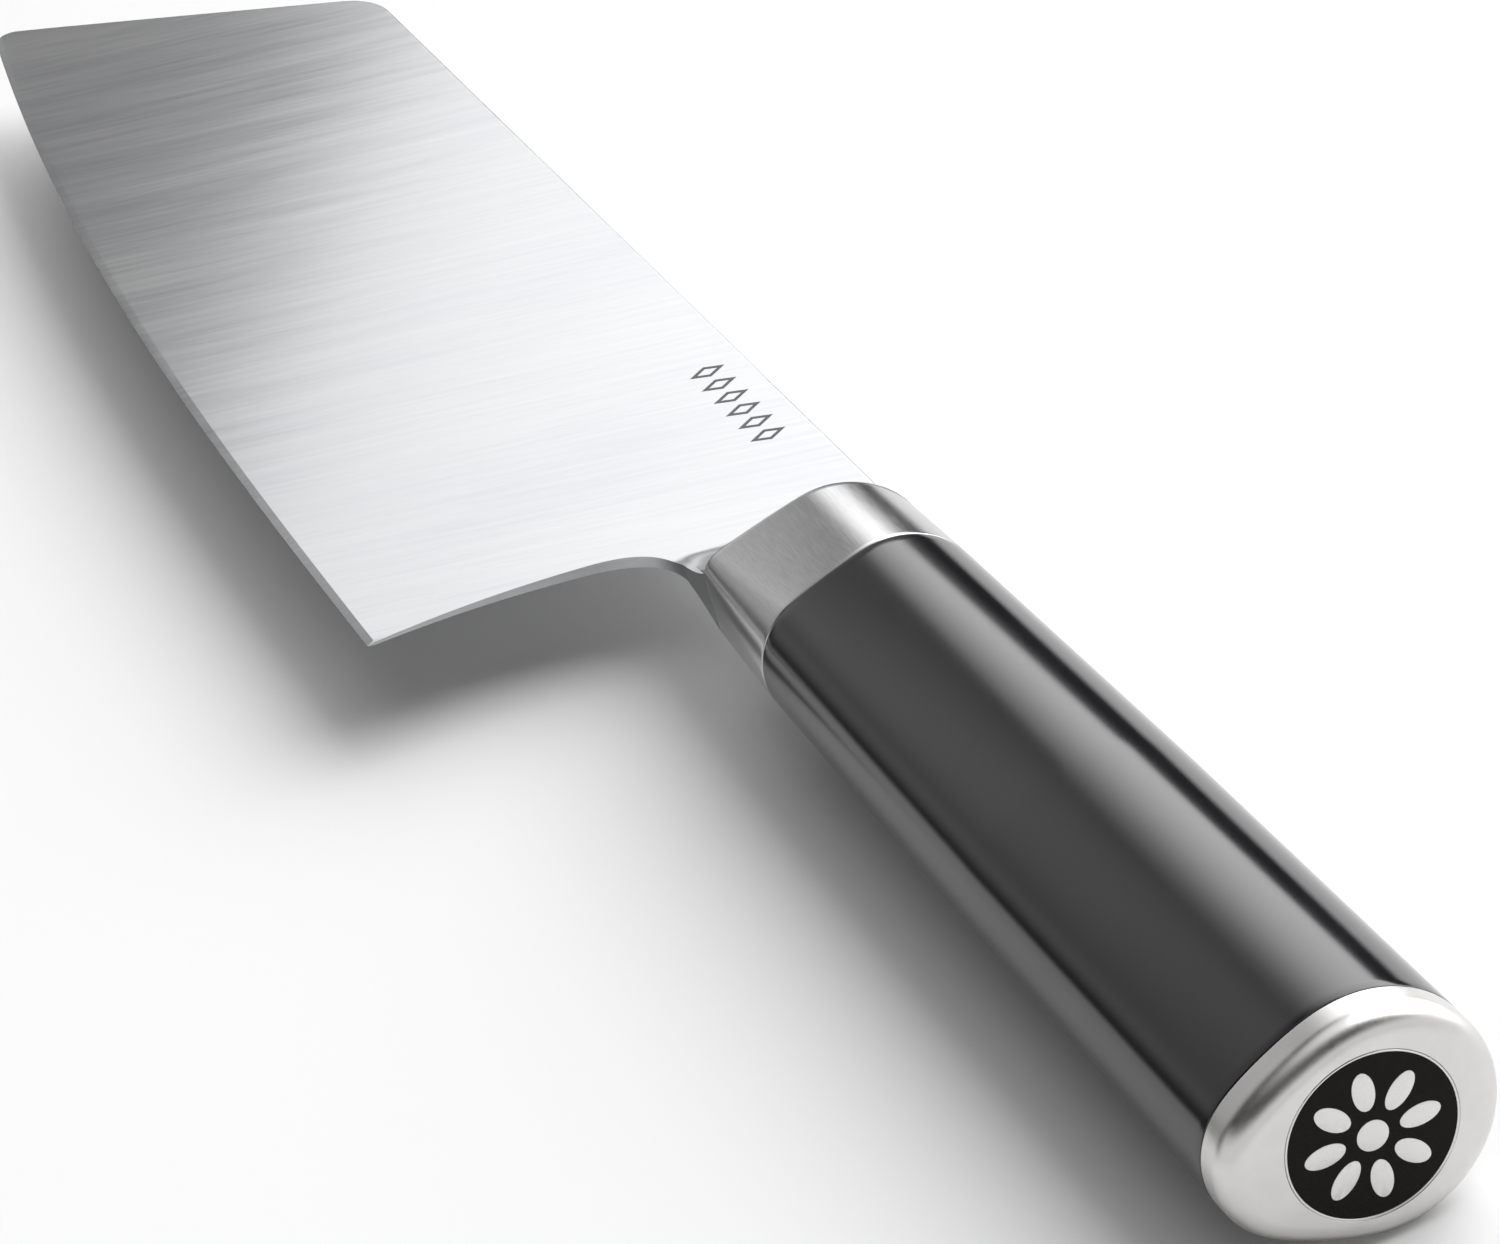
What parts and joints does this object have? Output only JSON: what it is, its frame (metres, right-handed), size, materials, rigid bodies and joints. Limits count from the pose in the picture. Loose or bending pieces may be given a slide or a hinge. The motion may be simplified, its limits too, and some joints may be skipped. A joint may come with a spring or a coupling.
{
  "type": "meat cleaver",
  "caption": "Cleaver-shaped chef's knife: broad satin blade with a slanted toe, forged collar, oval black grip, and a steel end cap with an inlaid black disc.",
  "frame": {"origin": "under the middle of the bounding box, with the knife lying level on one cheek", "axes": "+X toward the butt, +Y toward the spine, +Z out of the upper cheek"},
  "size_m": [0.3416, 0.0624, 0.0253],
  "materials": {
    "blade": "satin, ground across the blade",
    "collar": "satin, brushed lengthwise",
    "tang_bar": "plain mill finish",
    "grip": "satin black polymer",
    "tang_bedding": "cast resin",
    "tang_stud": "plain",
    "stud_washer": "plain",
    "stud_nut": "plain",
    "end_cap": "satin with a rounded rim",
    "emblem_disc": "fine satin",
    "emblem_enamel": "black enamel"
  },
  "bodies": {
    "root": {"blade": "blade", "collar": "collar", "tang_bar": "tang_bar", "grip": "grip", "tang_bedding": "tang_bedding", "tang_stud": "tang_stud", "stud_washer": "stud_washer", "stud_nut": "stud_nut", "end_cap": "end_cap", "emblem_disc": "emblem_disc", "emblem_enamel": "emblem_enamel"}
  },
  "joints": []
}
